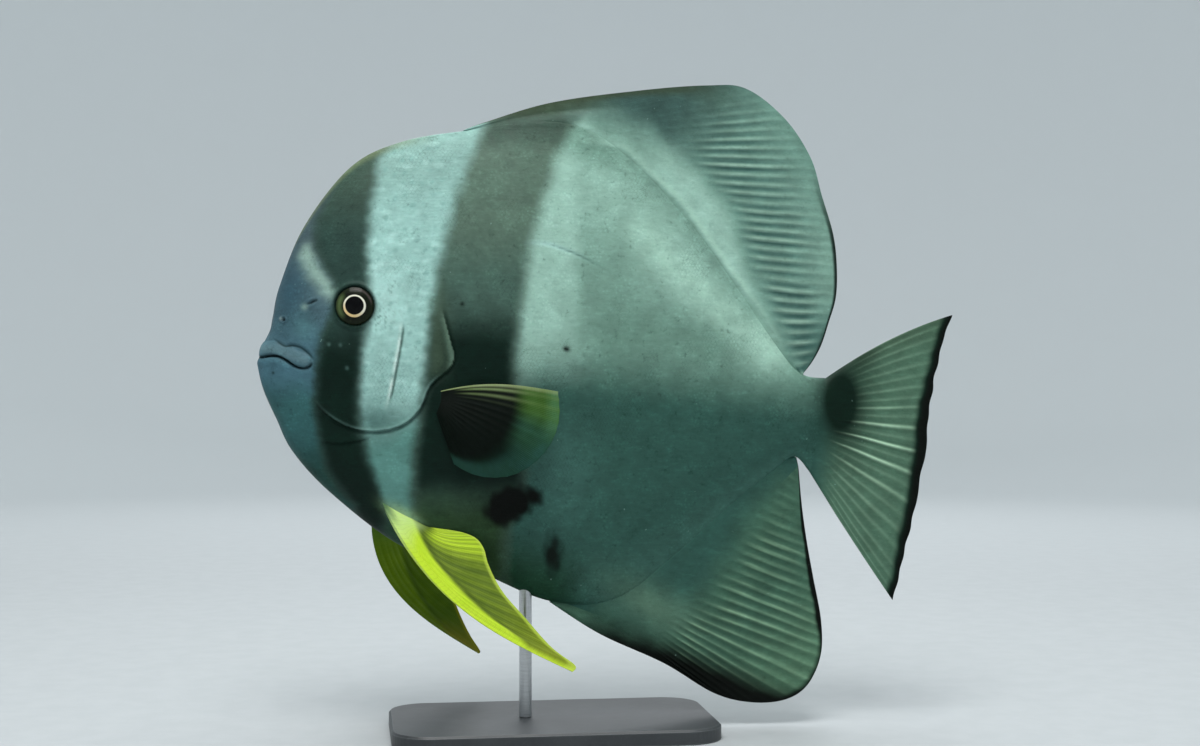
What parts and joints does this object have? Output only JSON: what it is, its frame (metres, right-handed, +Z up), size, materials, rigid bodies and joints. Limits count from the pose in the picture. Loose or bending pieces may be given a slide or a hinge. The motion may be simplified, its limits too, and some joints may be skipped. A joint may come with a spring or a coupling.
{
  "type": "longfin batfish model on display stand",
  "caption": "Life-size still model of a longfin batfish with yellow pelvic fins, held over a flat base by a short rod.",
  "frame": {"origin": "centre of the underside of the stand's base", "axes": "+X towards the tail, -X towards the snout, +Y to the fish's right side, +Z up"},
  "size_m": [0.4985, 0.1725, 0.4636],
  "materials": {
    "head_skin": "slate blue-green face, dark band through the eye, moist satin",
    "body_skin": "pale grey-green with broad dark bands and fine scales, moist satin",
    "fin_skin": "grey-green ribbed membrane with a black margin",
    "pectoral_fin": "dark membrane with a yellow-green outer part",
    "pelvic_fin": "bright yellow-lime ribbed membrane",
    "eye": "black pupil, thin pale gold ring, dark iris under a clear glossy surface",
    "stand_base": "dark satin base",
    "stand_rod": "brushed steel rod"
  },
  "bodies": {
    "root": {"head": "head_skin", "torso": "body_skin", "tail": "body_skin", "fin_dorsal": "fin_skin", "fin_anal": "fin_skin", "fin_caudal": "fin_skin", "fin_pectoral_left": "pectoral_fin", "fin_pectoral_right": "pectoral_fin", "fin_pelvic_left": "pelvic_fin", "fin_pelvic_right": "pelvic_fin", "eye_left": "eye", "eye_right": "eye", "stand_base": "stand_base", "stand_rod": "stand_rod"}
  },
  "joints": []
}
